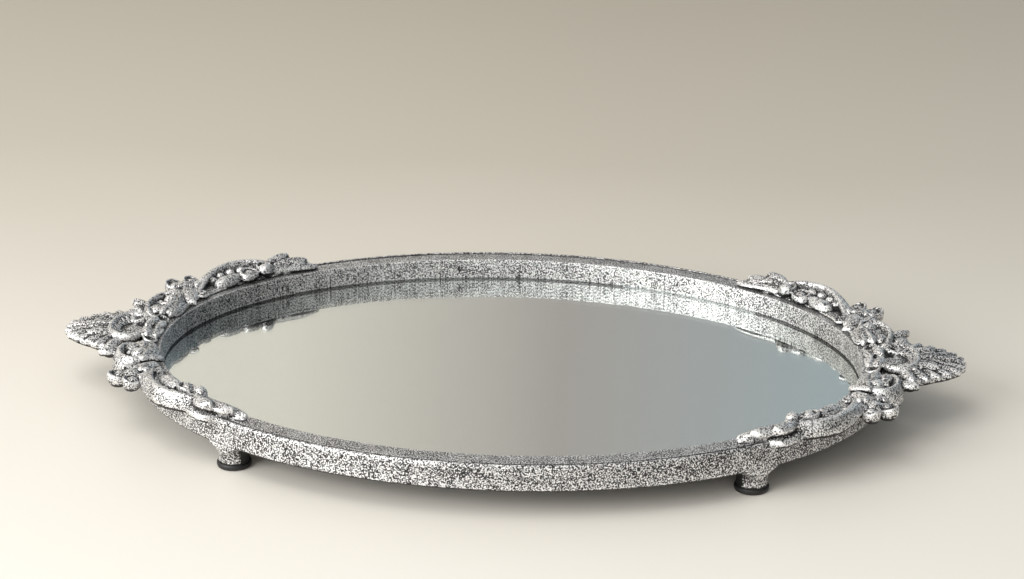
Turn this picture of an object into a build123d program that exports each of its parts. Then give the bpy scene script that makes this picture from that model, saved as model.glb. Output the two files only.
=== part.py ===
"""Oval vanity tray: a cast, ornamented rim with a mirror floor, on four short feet.

Millimetres. +X runs along the length, +Y across the width, +Z up.
The origin is on the table, under the middle of the tray.
"""
from build123d import *
from math import cos, hypot, radians, sin
import os

# ---- Driving dimensions -------------------------------------------------------------------
OPENING_HALF_LENGTH = 150.0     # half-axes of the opening, at the rim's inner top edge
OPENING_HALF_WIDTH = 105.0
OVERALL_HALF_LENGTH = 194.6     # to the tip of a palmette handle
RIM_WIDTH = 10.2                # across the flat top of the rim
RIM_TOP = 22.0                  # crest of the bead along the rim's outer edge
WALL_BOTTOM = 11.5              # lower edge of the rim's outer wall
WALL_FLARE = 1.0                # how far the outer wall spreads towards its lower edge
GLASS_TOP = 13.0
GLASS_THICKNESS = 2.8
SILVERING_THICKNESS = 0.2       # silver, copper and back paint together
TAPE_THICKNESS = 0.5
BOARD_THICKNESS = 1.6
FELT_THICKNESS = 0.6
FOOT_X = 104.0
FOOT_Y = 80.3
FOOT_RADIUS = 6.3
PAD_RADIUS = 7.0
PAD_THICKNESS = 2.4
SCREW_RADIUS = 1.25             # M2.5
ORNAMENT_TOP = 29.0             # crest of the long scrolls
PETAL_ANGLES = (0, 9, 19, 30, 42, 56, 72)
PETAL_LENGTHS = (1.0, 0.985, 0.93, 0.85, 0.78, 0.74, 0.71)      # as parts of the middle one

# ---- Worked out from them -----------------------------------------------------------------
BEAD_DROP = 0.35                # the flat of the rim lies this far below the bead
BEAD_WIDTH = 1.7
GROOVE_WIDTH = 0.7
GROOVE_DEPTH = 0.5
RIM_FLAT = RIM_TOP - BEAD_DROP
LEDGE_WIDTH = 2.2               # the glass lies this far under the rim
EDGE_GAP = 0.3                  # between the glass and its recess
LAND_WIDTH = 0.6                # flat lower edge of the recess wall
GLASS_BOTTOM = GLASS_TOP - GLASS_THICKNESS
TAPE_TOP = GLASS_BOTTOM - SILVERING_THICKNESS
BOARD_TOP = TAPE_TOP - TAPE_THICKNESS
UNDERSIDE = BOARD_TOP - BOARD_THICKNESS
TAPE_BAND = 14.0                # width of the foam ring
SCREW_CLEARANCE = 0.1
SCREW_GRIP = 0.05               # the screw's hole in the rim is this much larger than its thread
SCREW_TOP = 17.0
SCREW_END_ROOM = 0.5
HEAD_RADIUS = 2.4
HEAD_THICKNESS = 1.0
HEAD_RECESS = 0.4               # the head stays this far above the table
PEG_RADIUS = 1.2
PEG_DEPTH = 2.5
PEG_CLEARANCE = 0.05
TOP_OF_CUTS = RIM_TOP + 1.0

os.makedirs("parts", exist_ok=True)


# ---- Oval bodies --------------------------------------------------------------------------
def oval_stack(*levels):
    """Solid through ovals, each given as (distance outside the opening, height)."""
    ovals = []
    for out, height in levels:
        shape = Ellipse(OPENING_HALF_LENGTH + out, OPENING_HALF_WIDTH + out)
        ovals.append(Plane.XY.offset(height) * shape)
    return loft(ovals, ruled=True)


def oval_disc(out, low, high):
    """Flat oval plate between two heights."""
    shape = Ellipse(OPENING_HALF_LENGTH + out, OPENING_HALF_WIDTH + out)
    return extrude(Plane.XY.offset(low) * shape, high - low)


def rim_point(angle, out):
    """Point a distance outside the opening, square to its edge; the angle is the oval's parameter."""
    turn = radians(angle)
    x = OPENING_HALF_LENGTH * cos(turn)
    y = OPENING_HALF_WIDTH * sin(turn)
    across = (OPENING_HALF_WIDTH * cos(turn), OPENING_HALF_LENGTH * sin(turn))
    length = hypot(*across)
    return (x + out * across[0] / length, y + out * across[1] / length)


# ---- Frame --------------------------------------------------------------------------------
def frame_envelope():
    """Outside of the rim with the opening still filled in."""
    return oval_stack(
        (LEDGE_WIDTH + LAND_WIDTH, UNDERSIDE),
        (RIM_WIDTH + WALL_FLARE, WALL_BOTTOM),
        (RIM_WIDTH, RIM_TOP - 1.2),
        (RIM_WIDTH - 0.4, RIM_TOP - 0.3),
        (RIM_WIDTH - 1.1, RIM_TOP),
    )


def cast_frame(envelope):
    """Beaded oval rim: upright inner wall, recess for the mirror below, sloping underside."""
    wall = oval_stack(
        (-0.3, GLASS_TOP - 0.01),
        (0.0, RIM_FLAT - 0.4),
        (0.4, RIM_FLAT),
        (1.4, TOP_OF_CUTS),
    )
    recess = oval_disc(LEDGE_WIDTH, UNDERSIDE - 1.0, GLASS_TOP)
    flat = oval_disc(RIM_WIDTH - BEAD_WIDTH, RIM_FLAT, TOP_OF_CUTS)
    groove_low = RIM_FLAT - GROOVE_DEPTH
    groove = oval_disc(RIM_WIDTH - BEAD_WIDTH, groove_low, TOP_OF_CUTS)
    groove -= oval_disc(RIM_WIDTH - BEAD_WIDTH - GROOVE_WIDTH, groove_low - 1.0, TOP_OF_CUTS + 1.0)
    return envelope - wall - recess - flat - groove


# ---- Mirror and backing -------------------------------------------------------------------
def mirror_glass():
    """Float glass with its upper edge ground off."""
    edge = LEDGE_WIDTH - EDGE_GAP
    return oval_stack((edge, GLASS_BOTTOM), (edge, GLASS_TOP - 0.4), (edge - 0.4, GLASS_TOP))


def mounting_tape():
    """Closed ring of foam tape between the mirror and its board."""
    edge = LEDGE_WIDTH - EDGE_GAP - 1.0
    ring = oval_disc(edge, BOARD_TOP, TAPE_TOP)
    return ring - oval_disc(edge - TAPE_BAND, BOARD_TOP - 1.0, TAPE_TOP + 1.0)


def felt_lining():
    """Felt under the board, cut out around the feet."""
    felt = oval_disc(LEDGE_WIDTH - 1.2, UNDERSIDE - FELT_THICKNESS, UNDERSIDE)
    for x, y in foot_places().values():
        felt -= Pos(x, y, UNDERSIDE - 1.0) * Cylinder(FOOT_RADIUS + 1.4, 4.0)
    return felt


# ---- Feet ---------------------------------------------------------------------------------
def foot_places():
    """Foot name to its place in plan."""
    places = {}
    for side, along in (("left", -1), ("right", 1)):
        for end, across in (("front", -1), ("back", 1)):
            places[f"{side}_{end}"] = (along * FOOT_X, across * FOOT_Y)
    return places


def screw_hole(x, y, radius):
    """Blind hole from below the table up to just above the screw's tip."""
    low = -1.0
    high = SCREW_TOP + SCREW_END_ROOM
    return Pos(x, y, (low + high) / 2) * Cylinder(radius, high - low)


def cast_foot(x, y, envelope):
    """Round post that flares into the underside of the rim and grips the edge of the board."""
    section = Polyline(
        (0, PAD_THICKNESS),
        (FOOT_RADIUS + 0.2, PAD_THICKNESS),
        (FOOT_RADIUS, PAD_THICKNESS + 0.9),
        (FOOT_RADIUS, 5.8),
        (FOOT_RADIUS + 0.4, 7.4),
        (FOOT_RADIUS + 1.5, 9.2),
        (FOOT_RADIUS + 3.4, 10.9),
        (FOOT_RADIUS + 5.4, WALL_BOTTOM),
        (0, WALL_BOTTOM),
        (0, PAD_THICKNESS),
    )
    post = revolve(Plane.XZ * make_face(section), Axis.Z)
    post = Pos(x, y, 0) * post
    post = post & oval_disc(RIM_WIDTH + WALL_FLARE - 0.15, 0, WALL_BOTTOM)
    return post - envelope - screw_hole(x, y, SCREW_RADIUS + SCREW_CLEARANCE)


def foot_pad(x, y):
    """Rubber disc with a recess that hides the head of the foot's screw."""
    section = Polyline(
        (0, 0),
        (PAD_RADIUS - 0.8, 0),
        (PAD_RADIUS - 0.2, 0.3),
        (PAD_RADIUS, 0.9),
        (PAD_RADIUS, PAD_THICKNESS - 0.6),
        (PAD_RADIUS - 0.4, PAD_THICKNESS),
        (0, PAD_THICKNESS),
        (0, 0),
    )
    pad = revolve(Plane.XZ * make_face(section), Axis.Z)
    pad -= Cylinder(SCREW_RADIUS + SCREW_CLEARANCE, 4 * PAD_THICKNESS)
    head_room = HEAD_RECESS + HEAD_THICKNESS
    pad -= Pos(0, 0, head_room / 2 - 0.5) * Cylinder(HEAD_RADIUS + 0.2, head_room + 1.0)
    return Pos(x, y, 0) * pad


def foot_screw(x, y):
    """Pan-head screw with a cross recess."""
    head = Pos(0, 0, HEAD_RECESS + HEAD_THICKNESS / 2) * Cylinder(HEAD_RADIUS, HEAD_THICKNESS)
    slot = Pos(0, 0, HEAD_RECESS) * (Box(2.6, 0.5, 0.8) + Box(0.5, 2.6, 0.8))
    base = HEAD_RECESS + HEAD_THICKNESS
    shank = Pos(0, 0, (base + SCREW_TOP) / 2) * Cylinder(SCREW_RADIUS, SCREW_TOP - base)
    return Pos(x, y, 0) * (head - slot + shank)


# ---- Ornament: built for the +X, +Y quarter, then mirrored ------------------------------------
def ribbon(points, width, low, high):
    """Upright strip that follows a curve in plan."""
    path = Spline(*points)
    return extrude(Plane.XY.offset(low) * trace(path, width), high - low)


def lobe(at, size, turn=0.0):
    """Rounded leaf lobe or bead, its long axis turned in plan."""
    return Pos(*at) * Rot(0, 0, turn) * scale(Sphere(1), by=size)


def pegs(*places):
    """Locating pegs that go down into the rim."""
    group = []
    for x, y in places:
        middle = RIM_FLAT - PEG_DEPTH / 2 + 0.5
        group.append(Pos(x, y, middle) * Cylinder(PEG_RADIUS, PEG_DEPTH + 1.0))
    return group


def fuse(pieces):
    """One solid out of overlapping ones."""
    body = pieces[0]
    for piece in pieces[1:]:
        body += piece
    return body


SCROLL_PEGS = (rim_point(27, 6.0), rim_point(47, 5.0))
SPRAY_PEGS = (rim_point(21.5, 6.5),)
VOLUTE_PEGS = (rim_point(12, 6.0),)
CARTOUCHE_PEG_ANGLE = 4.5
CARTOUCHE_PEGS = (rim_point(CARTOUCHE_PEG_ANGLE, 6.0), rim_point(-CARTOUCHE_PEG_ANGLE, 6.0))


def rim_scroll():
    """Long scroll on the rim: a high arched lip round a bead, then a leaf with three curled tips."""
    web = [rim_point(angle, 9.0 - 0.13 * (angle - 24)) for angle in (24, 29, 34, 39, 44, 48)]
    lip = [
        rim_point(23, 15.0),
        rim_point(27, 17.5),
        rim_point(31, 18.5),
        rim_point(35, 17.0),
        rim_point(38, 13.5),
        rim_point(39, 9.0),
    ]
    tail = [rim_point(angle, 7.5) for angle in (38, 42, 46, 49)]
    bead = rim_point(29.5, 8.0)
    pieces = [
        ribbon(web, 9.0, RIM_FLAT, 24.2),
        ribbon(lip, 4.6, 19.5, ORNAMENT_TOP - 1.4),
        ribbon(lip, 3.0, 20.5, ORNAMENT_TOP),
        ribbon(tail, 5.0, RIM_FLAT, 25.6),
        lobe((*bead, 23.6), (7.0, 4.6, 3.8), 126),
        lobe((*rim_point(43.5, 11.0), 26.0), (5.6, 2.8, 2.8), 140),
        lobe((*rim_point(47.5, 8.0), 24.6), (5.6, 2.6, 2.4), 146),
        lobe((*rim_point(50, 4.0), 23.2), (5.0, 2.4, 2.2), 148),
    ]
    return fuse(pieces + pegs(*SCROLL_PEGS))


def leaf_spray():
    """Short leaf of three rounded lobes that stands out sideways, between scroll and volute."""
    root = rim_point(21, 6.0)
    tips = ((156.5, 51.5), (150.0, 56.5), (159.0, 45.5))
    pieces = []
    for tip in tips:
        halfway = ((root[0] + tip[0]) / 2, (root[1] + tip[1]) / 2 - 1.0)
        pieces.append(ribbon([root, halfway, tip], 4.8, 19.4, 25.0))
        pieces.append(lobe((*tip, 22.2), (4.4, 3.8, 3.8), 40))
    return fuse(pieces + pegs(*SPRAY_PEGS))


def volute():
    """Rolled scroll beside the cartouche: a spiral lip round a bead."""
    middle = (157.4, 29.6)
    turns = []
    for step in range(9):
        turn = radians(250 - 42 * step)
        radius = 8.2 - 0.40 * step
        turns.append((middle[0] + radius * cos(turn), middle[1] + radius * sin(turn)))
    pieces = [
        ribbon(turns, 2.8, 17.5, 26.4),
        extrude(Plane.XY.offset(18.5) * Pos(*middle) * Circle(7.0), 3.8),
        lobe((middle[0] - 0.8, middle[1] - 0.5, 23.2), (3.1, 3.1, 3.1)),
        ribbon([rim_point(8, 6.0), rim_point(11, 6.5), rim_point(15, 6.5)], 6.0, RIM_FLAT, 24.5),
        lobe((168.4, 28.0, 22.4), (4.6, 2.2, 2.4), 30),
    ]
    return fuse(pieces + pegs(*VOLUTE_PEGS))


def cartouche():
    """Cup-shaped C-scroll at the root of the palmette."""
    middle = (165.0, 0.0)
    cup = [
        (156.5, -14.0),
        (164.0, -13.2),
        (170.8, -8.0),
        (173.0, 0.0),
        (170.8, 8.0),
        (164.0, 13.2),
        (156.5, 14.0),
    ]
    pieces = [
        ribbon(cup, 3.4, 21.0, 27.0),
        extrude(Plane.XY.offset(21.0) * Pos(*middle) * Ellipse(8.0, 12.5), 2.8),
        ribbon([(155.0, -15.5), (154.0, 0.0), (155.0, 15.5)], 6.5, RIM_FLAT, 25.4),
        lobe((*middle, 24.0), (4.2, 6.4, 2.6)),
    ]
    return fuse(pieces + pegs(*CARTOUCHE_PEGS))


PALMETTE_ROOT = 164.0           # the petals fan out from this point on the X axis
TONGUE_START = 151.5            # inner end of the tongue on the rim
TONGUE_THICKNESS = 1.4


def palmette():
    """Shell-shaped leaf handle: petals fanned from a root, with a tongue that lies on the rim."""
    reach = OVERALL_HALF_LENGTH - PALMETTE_ROOT
    tips = []
    petals = []
    for angle, part in zip(PETAL_ANGLES, PETAL_LENGTHS):
        length = reach * part
        for side in (1, -1) if angle else (1,):
            along = (cos(radians(angle)), side * sin(radians(angle)))
            tips.append((PALMETTE_ROOT + (length - 1.8) * along[0], (length - 1.8) * along[1]))
            middle = (PALMETTE_ROOT + 0.6 * length * along[0], 0.6 * length * along[1])
            petals.append(lobe((*middle, 22.4), (0.4 * length, 2.3, 2.0), side * angle))
    outline = sorted(tips, key=lambda tip: tip[1])
    inner = PALMETTE_ROOT - 2.0
    plate = make_face(Polyline((inner, -9), *outline, (inner, 9), (inner, -9)))
    tongue = Box(PALMETTE_ROOT - TONGUE_START, 7.0, TONGUE_THICKNESS)
    tongue_place = Pos((PALMETTE_ROOT + TONGUE_START) / 2, 0, RIM_FLAT + TONGUE_THICKNESS / 2)
    return fuse([extrude(Plane.XY.offset(20.0) * plate, 2.6), tongue_place * tongue] + petals)


# ---- Assembly -----------------------------------------------------------------------------
def largest(shape):
    """The main solid of a trimmed casting, without loose slivers."""
    return sorted(shape.solids(), key=lambda solid: solid.volume)[-1]


def write(name, shape):
    export_step(shape, f"parts/{name}.step")


envelope = frame_envelope()
frame = cast_frame(envelope)
for x, y in foot_places().values():
    frame -= screw_hole(x, y, SCREW_RADIUS + SCREW_GRIP)

# Each casting is trimmed by the rim and by the castings that lie under or before it.
seat = envelope - oval_disc(RIM_WIDTH - BEAD_WIDTH, RIM_FLAT, TOP_OF_CUTS)
quarter = {"rim_scroll": rim_scroll(), "volute": volute(), "leaf_spray": leaf_spray()}
ends = {"palmette": palmette(), "cartouche": cartouche()}
peg_places = {
    "rim_scroll": SCROLL_PEGS,
    "volute": VOLUTE_PEGS,
    "leaf_spray": SPRAY_PEGS,
    "palmette": (),
    "cartouche": CARTOUCHE_PEGS,
}


def drilled(shape, places):
    """The rim as one casting meets it: its own peg holes are open."""
    for x, y in places:
        shape -= Pos(x, y, RIM_FLAT) * Cylinder(PEG_RADIUS + PEG_CLEARANCE, 2 * PEG_DEPTH + 0.2)
    return shape


trimmed = {}
for name in ("palmette", "cartouche", "volute", "rim_scroll", "leaf_spray"):
    body = ends.get(name) or quarter[name]
    body -= drilled(seat, peg_places[name])
    for other in trimmed.values():
        body -= other
    trimmed[name] = largest(body)

for name, places in peg_places.items():
    across_sides = (1,) if name == "cartouche" else (1, -1)
    for along in (1, -1):
        for across in across_sides:
            frame = drilled(frame, [(along * x, across * y) for x, y in places])

write("oval_frame", largest(frame))
write("mirror_glass", mirror_glass())
write("mirror_silvering", oval_disc(LEDGE_WIDTH - EDGE_GAP, TAPE_TOP, GLASS_BOTTOM))
write("mounting_tape", mounting_tape())
write("backing_board", oval_disc(LEDGE_WIDTH - EDGE_GAP, UNDERSIDE, BOARD_TOP))
write("felt_lining", felt_lining())

for name, (x, y) in foot_places().items():
    write(f"{name}_foot", largest(cast_foot(x, y, envelope)))
    write(f"{name}_foot_pad", foot_pad(x, y))
write("foot_screws", Compound([foot_screw(x, y) for x, y in foot_places().values()]))

for name, body in trimmed.items():
    left = mirror(body, Plane.YZ)
    if name in ends:
        write(f"right_{name}", body)
        write(f"left_{name}", left)
    else:
        write(f"right_back_{name}", body)
        write(f"left_back_{name}", left)
        write(f"right_front_{name}", mirror(body, Plane.XZ))
        write(f"left_front_{name}", mirror(left, Plane.XZ))
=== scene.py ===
from math import atan2, cos, degrees, hypot, pi, radians, sin

import bmesh
import bpy
import numpy as np
from mathutils import Matrix, Vector


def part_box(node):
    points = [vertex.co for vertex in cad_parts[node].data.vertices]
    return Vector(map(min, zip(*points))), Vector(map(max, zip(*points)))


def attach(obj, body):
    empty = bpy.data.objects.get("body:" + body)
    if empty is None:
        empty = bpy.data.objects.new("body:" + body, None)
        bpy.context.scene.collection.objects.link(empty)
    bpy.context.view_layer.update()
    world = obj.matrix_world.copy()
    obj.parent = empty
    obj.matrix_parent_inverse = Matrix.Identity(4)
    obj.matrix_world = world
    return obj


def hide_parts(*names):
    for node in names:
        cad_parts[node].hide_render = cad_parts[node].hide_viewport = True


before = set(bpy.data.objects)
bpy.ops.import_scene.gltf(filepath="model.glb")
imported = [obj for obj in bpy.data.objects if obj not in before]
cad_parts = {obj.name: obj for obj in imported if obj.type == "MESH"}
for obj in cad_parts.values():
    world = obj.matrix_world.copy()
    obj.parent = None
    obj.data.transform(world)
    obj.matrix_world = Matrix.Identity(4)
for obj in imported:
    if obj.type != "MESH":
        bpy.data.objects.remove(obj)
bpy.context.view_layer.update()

MM = 0.001

# ---- Sizes read from the frame, in millimetres -------------------------------------------------
GLASS_TUCK = 1.9                 # the glass lies this far under the rim
WALL_FLARE = 1.0                 # the outer wall spreads this much towards its lower edge
BEAD_DROP = 0.35                 # from the bead's crest to the flat of the rim
glass_low, glass_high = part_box("mirror_glass")
rim_low, rim_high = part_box("oval_frame")
HALF_LENGTH = glass_high.x / MM - GLASS_TUCK
HALF_WIDTH = glass_high.y / MM - GLASS_TUCK
RIM_WIDTH = rim_high.x / MM - WALL_FLARE - HALF_LENGTH
RIM_TOP = rim_high.z / MM
RIM_FLAT = RIM_TOP - BEAD_DROP
GLASS_TOP = glass_high.z / MM
UNDERSIDE = rim_low.z / MM
WALL_BOTTOM = UNDERSIDE + 3.6
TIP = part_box("right_palmette")[1].x / MM

FEET = [f"{side}_{end}" for side in ("left", "right") for end in ("front", "back")]
FOOT_CUT = 7.7                   # radius of the cut in the felt round each foot
FOOT_BARE = 3.2                  # no silver reaches a foot below this height
FOOT_SPRAYED = 10.5              # silver reaches this far from a foot's middle, on its outer side


# ---- Node helpers ------------------------------------------------------------------------------
def linear(hex_colour):
    """sRGB hex to linear RGBA."""
    channels = [int(hex_colour[i:i + 2], 16) / 255 for i in (1, 3, 5)]
    return [c / 12.92 if c <= 0.04045 else ((c + 0.055) / 1.055) ** 2.4 for c in channels] + [1.0]


def new_material(name):
    material = bpy.data.materials.new(name)
    material.use_nodes = True
    material.node_tree.nodes.clear()
    return material


def node(material, kind, settings=None, **links):
    """Adds a node with its settings and links, and returns its first output.

    Settings name its own properties. Two are special: "output" names another output to return, and "stops"
    are a colour ramp's (position, grey or hex colour) pairs. Links name inputs, or number them as in0, in1
    and so on. Each is a value or a socket."""
    made = material.node_tree.nodes.new(kind)
    settings = dict(settings or {})
    output = settings.pop("output", 0)
    stops = settings.pop("stops", ())
    for key, value in settings.items():
        setattr(made, key, value)
    for _ in stops[2:]:
        made.color_ramp.elements.new(0.5)
    for element, (position, colour) in zip(made.color_ramp.elements if stops else (), stops):
        element.position = position
        element.color = linear(colour) if isinstance(colour, str) else (colour, colour, colour, 1.0)
    for key, value in links.items():
        numbered = key.startswith("in") and key[2:].isdigit()
        socket = made.inputs[int(key[2:]) if numbered else key.replace("_", " ")]
        if isinstance(value, bpy.types.NodeSocket):
            material.node_tree.links.new(value, socket)
        else:
            socket.default_value = value
    return made.outputs[output] if made.outputs else None


def finish_material(material, shader):
    node(material, "ShaderNodeOutputMaterial", Surface=shader)
    return material


# ---- Materials ---------------------------------------------------------------------------------
GRAIN = 0.60                     # mm across a fleck of silver
OBJECT = {"output": "Object"}
ADD = {"operation": "ADD"}
SUBTRACT = {"operation": "SUBTRACT"}
MULTIPLY = {"operation": "MULTIPLY"}


def silvered_casting():
    """Cast polyresin, coloured black, with silver paint stippled over it by sponge.
    The eye sees a dense salt-and-pepper speckle: nearly white on ridges, black in the hollows,
    and bare black where no sponge or spray reached, underneath and behind the feet.
    The white on ridges and the black in hollows are partly the sponge's real wear and partly
    painted highlight and painted shade, driven by the relief attribute."""
    m = new_material("silver_stippled_black_resin")
    place = node(m, "ShaderNodeTexCoord", OBJECT)
    flecks = node(m, "ShaderNodeTexNoise", Vector=place, Scale=1 / (GRAIN * MM), Detail=2.0, Roughness=0.6)
    patches = node(m, "ShaderNodeTexNoise", Vector=place, Scale=1 / (7 * MM), Detail=2.0)
    # Relief lightens ridges and darkens hollows: partly the sponge's real wear, partly painted highlight and
    # painted shade.
    relief = node(m, "ShaderNodeAttribute", {"attribute_name": "relief", "output": "Fac"})
    bare = node(m, "ShaderNodeAttribute", {"attribute_name": "bare", "output": "Fac"})
    # Extra darkening of concave places: painted shade in the hollows.
    hollow_painted_shade = node(m, "ShaderNodeMath", {"operation": "MINIMUM"}, in0=relief, in1=0.0)
    patchy = node(m, "ShaderNodeMath", SUBTRACT, in0=patches, in1=0.5)
    amount = flecks
    for change, share in ((relief, 0.08), (hollow_painted_shade, 0.13), (patchy, 0.14), (bare, -0.5)):
        part = node(m, "ShaderNodeMath", MULTIPLY, in0=change, in1=share)
        amount = node(m, "ShaderNodeMath", ADD, in0=amount, in1=part)
    black_to_silver = (
        (0.43, "#070708"), (0.48, "#1e1e20"), (0.51, "#adadaf"), (0.55, "#e2e2e3"), (0.66, "#fafafa"),
    )
    colour = node(m, "ShaderNodeValToRGB", {"stops": black_to_silver}, Fac=amount)
    metal = node(m, "ShaderNodeValToRGB", {"stops": ((0.47, 0.0), (0.54, 0.75))}, Fac=amount)
    gloss = node(m, "ShaderNodeValToRGB", {"stops": ((0.42, 0.45), (0.60, 0.40))}, Fac=amount)
    height = node(m, "ShaderNodeValToRGB", {"stops": ((0.35, 0.0), (0.65, 1.0))}, Fac=amount)
    bump = node(m, "ShaderNodeBump", Height=height, Strength=0.5, Distance=0.12 * MM)
    return finish_material(m, node(
        m, "ShaderNodeBsdfPrincipled", Base_Color=colour, Metallic=metal, Roughness=gloss, Normal=bump
    ))


def float_glass():
    """Float glass, polished by fire on both faces: clear, with a faint green cast."""
    m = new_material("clear_float_glass")
    place = node(m, "ShaderNodeTexCoord", OBJECT)
    waviness = node(m, "ShaderNodeTexNoise", Vector=place, Scale=1 / (60 * MM), Detail=0.0)
    bump = node(m, "ShaderNodeBump", Height=waviness, Strength=0.02, Distance=0.2 * MM)
    return finish_material(m, node(
        m, "ShaderNodeBsdfPrincipled", Base_Color=linear("#f9fcfb"), Roughness=0.0, IOR=1.52,
        Transmission_Weight=1.0, Normal=bump
    ))


def mirror_silver():
    """Silver coat on the back of the glass, with grey paint over its hidden side."""
    m = new_material("mirror_silver_and_grey_back_paint")
    normal = node(m, "ShaderNodeNewGeometry", {"output": "Normal"})
    up = node(m, "ShaderNodeSeparateXYZ", {"output": "Z"}, Vector=normal)
    place = node(m, "ShaderNodeTexCoord", OBJECT)
    paint = node(m, "ShaderNodeTexNoise", Vector=place, Scale=1 / (3 * MM), Detail=4.0)
    faces_up = node(m, "ShaderNodeMath", {"operation": "GREATER_THAN"}, in0=up, in1=0.5)
    grey = node(m, "ShaderNodeValToRGB", {"stops": ((0.3, "#6d7073"), (0.7, "#7d8083"))}, Fac=paint)
    colour = node(
        m, "ShaderNodeMix", {"data_type": "RGBA", "output": 2}, Factor=faces_up, in6=grey, in7=linear("#f3f4f3")
    )
    polish = node(m, "ShaderNodeMath", MULTIPLY, in0=faces_up, in1=0.49)
    rough = node(m, "ShaderNodeMath", SUBTRACT, in0=0.5, in1=polish)
    return finish_material(m, node(
        m, "ShaderNodeBsdfPrincipled", Base_Color=colour, Metallic=faces_up, Roughness=rough
    ))


def foam_tape():
    """Closed-cell polyethylene foam tape: off-white, matt and finely pored."""
    m = new_material("foam_tape")
    place = node(m, "ShaderNodeTexCoord", OBJECT)
    pores = node(m, "ShaderNodeTexVoronoi", Vector=place, Scale=1 / (0.6 * MM))
    colour = node(m, "ShaderNodeValToRGB", {"stops": ((0.1, "#b9b6ae"), (0.6, "#dcd9d0"))}, Fac=pores)
    bump = node(m, "ShaderNodeBump", Height=pores, Strength=0.4, Distance=0.1 * MM)
    return finish_material(m, node(m, "ShaderNodeBsdfPrincipled", Base_Color=colour, Roughness=0.85, Normal=bump))


def hardboard():
    """Tempered hardboard: pressed wood fibre, brown, with a smooth face and a fibrous fleck."""
    m = new_material("tempered_hardboard")
    place = node(m, "ShaderNodeTexCoord", OBJECT)
    fibre = node(m, "ShaderNodeTexNoise", Vector=place, Scale=1 / (1.2 * MM), Detail=6.0, Roughness=0.7)
    colour = node(m, "ShaderNodeValToRGB", {"stops": ((0.3, "#3d2817"), (0.7, "#6d4a2c"))}, Fac=fibre)
    bump = node(m, "ShaderNodeBump", Height=fibre, Strength=0.3, Distance=0.1 * MM)
    return finish_material(m, node(m, "ShaderNodeBsdfPrincipled", Base_Color=colour, Roughness=0.6, Normal=bump))


def black_felt():
    """Needled felt: short tangled fibres, drawn about 0.9 mm apart so that they show, deep black with a
    soft sheen."""
    m = new_material("black_needled_felt")
    place = node(m, "ShaderNodeTexCoord", OBJECT)
    fibres = node(
        m, "ShaderNodeTexNoise", Vector=place, Scale=1 / (0.9 * MM), Detail=8.0, Roughness=0.75, Distortion=1.5
    )
    colour = node(m, "ShaderNodeValToRGB", {"stops": ((0.35, "#0c0c0d"), (0.7, "#2c2c2e"))}, Fac=fibres)
    bump = node(m, "ShaderNodeBump", Height=fibres, Strength=0.8, Distance=0.2 * MM)
    return finish_material(m, node(
        m, "ShaderNodeBsdfPrincipled", Base_Color=colour, Roughness=0.95, Sheen_Weight=0.4, Normal=bump
    ))


def pad_rubber():
    """Moulded nitrile rubber: black, satin, with a faint dusty bloom."""
    m = new_material("moulded_black_rubber")
    place = node(m, "ShaderNodeTexCoord", OBJECT)
    bloom = node(m, "ShaderNodeTexNoise", Vector=place, Scale=1 / (2.5 * MM), Detail=5.0, Roughness=0.7)
    colour = node(m, "ShaderNodeValToRGB", {"stops": ((0.3, "#0e0e0f"), (0.75, "#262627"))}, Fac=bloom)
    gloss = node(m, "ShaderNodeValToRGB", {"stops": ((0.3, 0.42), (0.7, 0.6))}, Fac=bloom)
    bump = node(m, "ShaderNodeBump", Height=bloom, Strength=0.15, Distance=0.1 * MM)
    return finish_material(m, node(
        m, "ShaderNodeBsdfPrincipled", Base_Color=colour, Roughness=gloss, Normal=bump
    ))


def zinc_steel():
    """Zinc-plated steel: pale, slightly blue, with a fine crystalline mottle."""
    m = new_material("zinc_plated_steel")
    place = node(m, "ShaderNodeTexCoord", OBJECT)
    mottle = node(m, "ShaderNodeTexNoise", Vector=place, Scale=1 / (0.8 * MM), Detail=4.0)
    colour = node(m, "ShaderNodeValToRGB", {"stops": ((0.3, "#9fa3a8"), (0.7, "#c3c6ca"))}, Fac=mottle)
    gloss = node(m, "ShaderNodeValToRGB", {"stops": ((0.3, 0.28), (0.7, 0.42))}, Fac=mottle)
    return finish_material(m, node(
        m, "ShaderNodeBsdfPrincipled", Base_Color=colour, Metallic=1.0, Roughness=gloss
    ))


def pale_floor():
    """Matt cream lacquer, for the surface that the tray stands on. It darkens towards the back as painted falloff
    of the light, with a faint random mottle.
    """
    m = new_material("cream_lacquer")
    place = node(m, "ShaderNodeTexCoord", OBJECT)
    cloud = node(m, "ShaderNodeTexNoise", Vector=place, Scale=4.0, Detail=2.0)
    depth = node(m, "ShaderNodeSeparateXYZ", {"output": "Y"}, Vector=place)
    # Painted light: the colour darkens from front to back, for the light falling off away from the lamps.
    back = node(m, "ShaderNodeMapRange", Value=depth, From_Min=-0.30, From_Max=0.80)
    painted_falloff_and_mottle = node(m, "ShaderNodeMath", ADD, in0=back, in1=node(m, "ShaderNodeMath", MULTIPLY, in0=cloud, in1=0.08))
    near_to_far = ((0.05, "#f8f5ef"), (0.35, "#e6e1d8"), (0.6, "#cac4b7"), (1.0, "#bdb5a6"))
    colour = node(m, "ShaderNodeValToRGB", {"stops": near_to_far}, Fac=painted_falloff_and_mottle)
    return finish_material(m, node(m, "ShaderNodeBsdfPrincipled", Base_Color=colour, Roughness=0.45))


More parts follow.
